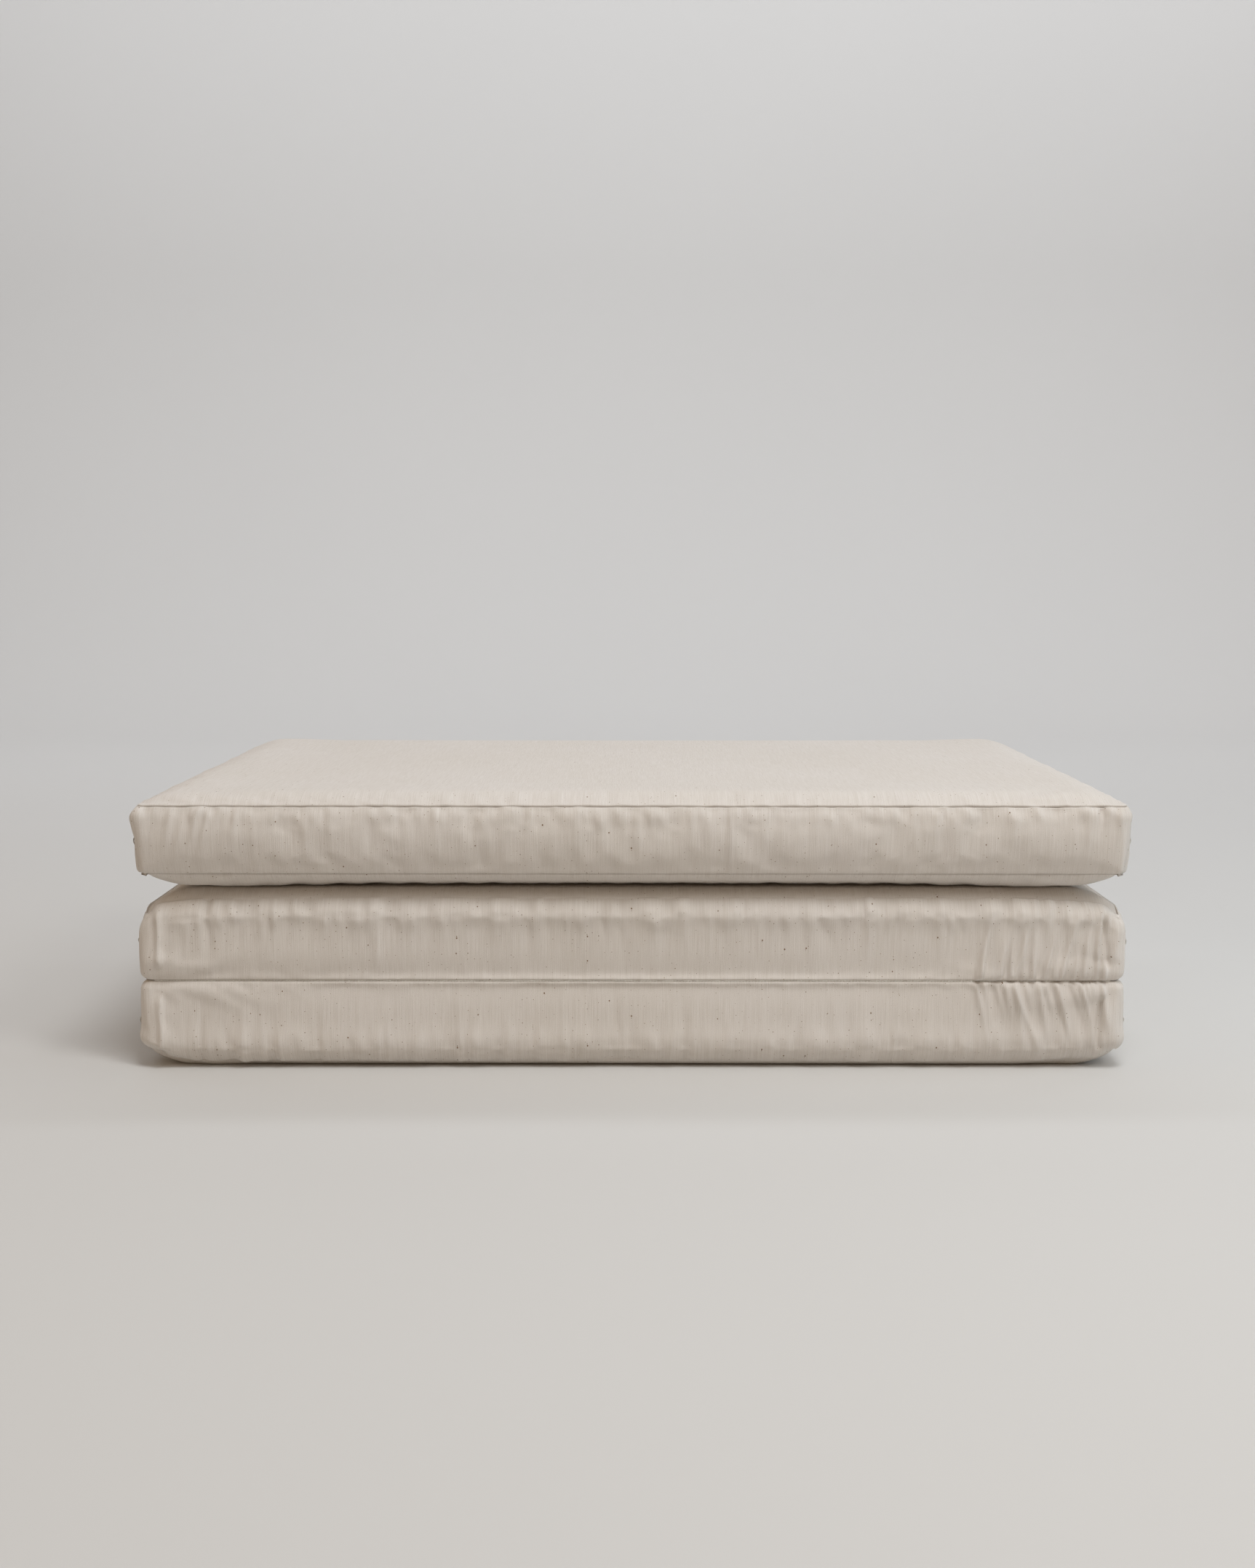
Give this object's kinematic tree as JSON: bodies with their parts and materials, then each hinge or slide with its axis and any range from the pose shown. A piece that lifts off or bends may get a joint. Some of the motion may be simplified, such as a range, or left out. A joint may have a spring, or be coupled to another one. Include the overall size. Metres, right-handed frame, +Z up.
{
  "type": "futon mattress",
  "caption": "Folding cotton futon mattress of sewn, batting-filled panels on stitched cloth hinges, stored folded in a stack of slabs.",
  "frame": {"origin": "centre of the folded stack's footprint, on the surface it lies on", "axes": "+X along the width, +Y to the back, +Z up; the free front edge of the top panel and the front hinge face -Y"},
  "size_m": [0.99, 0.651, 0.282],
  "materials": {
    "cotton_cover": "matte",
    "cotton_batting": "matte",
    "core_pad": "matte",
    "tack_twine": "matte",
    "hinge_thread": "matte"
  },
  "bodies": {
    "bottom_panel": {"bottom_casing_under": "cotton_cover", "bottom_casing_over": "cotton_cover", "bottom_batting_under": "cotton_batting", "bottom_batting_over": "cotton_batting", "bottom_core": "core_pad", "bottom_band_left": "cotton_cover", "bottom_tack_left_1": "tack_twine", "bottom_tack_left_2": "tack_twine", "bottom_tack_left_3": "tack_twine", "bottom_band_right": "cotton_cover", "bottom_tack_right_1": "tack_twine", "bottom_tack_right_2": "tack_twine", "bottom_tack_right_3": "tack_twine", "bottom_band_back": "cotton_cover", "front_hinge_stitching": "hinge_thread"},
    "middle_panel": {"middle_casing_under": "cotton_cover", "middle_casing_over": "cotton_cover", "middle_batting_under": "cotton_batting", "middle_batting_over": "cotton_batting", "middle_core": "core_pad", "middle_band_left": "cotton_cover", "middle_tack_left_1": "tack_twine", "middle_tack_left_2": "tack_twine", "middle_tack_left_3": "tack_twine", "middle_band_right": "cotton_cover", "middle_tack_right_1": "tack_twine", "middle_tack_right_2": "tack_twine", "middle_tack_right_3": "tack_twine", "back_hinge_stitching": "hinge_thread"},
    "top_panel": {"top_casing_under": "cotton_cover", "top_casing_over": "cotton_cover", "top_batting_under": "cotton_batting", "top_batting_over": "cotton_batting", "top_core": "core_pad", "top_band_left": "cotton_cover", "top_tack_left_1": "tack_twine", "top_tack_left_2": "tack_twine", "top_tack_left_3": "tack_twine", "top_band_right": "cotton_cover", "top_tack_right_1": "tack_twine", "top_tack_right_2": "tack_twine", "top_tack_right_3": "tack_twine", "top_band_front": "cotton_cover"}
  },
  "joints": [
    {"name": "front_fold", "type": "hinge", "parent": "bottom_panel", "child": "middle_panel", "pos_m": [0, -0.3135, 0.091], "axis": [1, 0, 0], "range_deg": [0, 180]},
    {"name": "back_fold", "type": "hinge", "parent": "middle_panel", "child": "top_panel", "pos_m": [0, 0.3135, 0.184], "axis": [-1, 0, 0], "range_deg": [0, 180]}
  ]
}
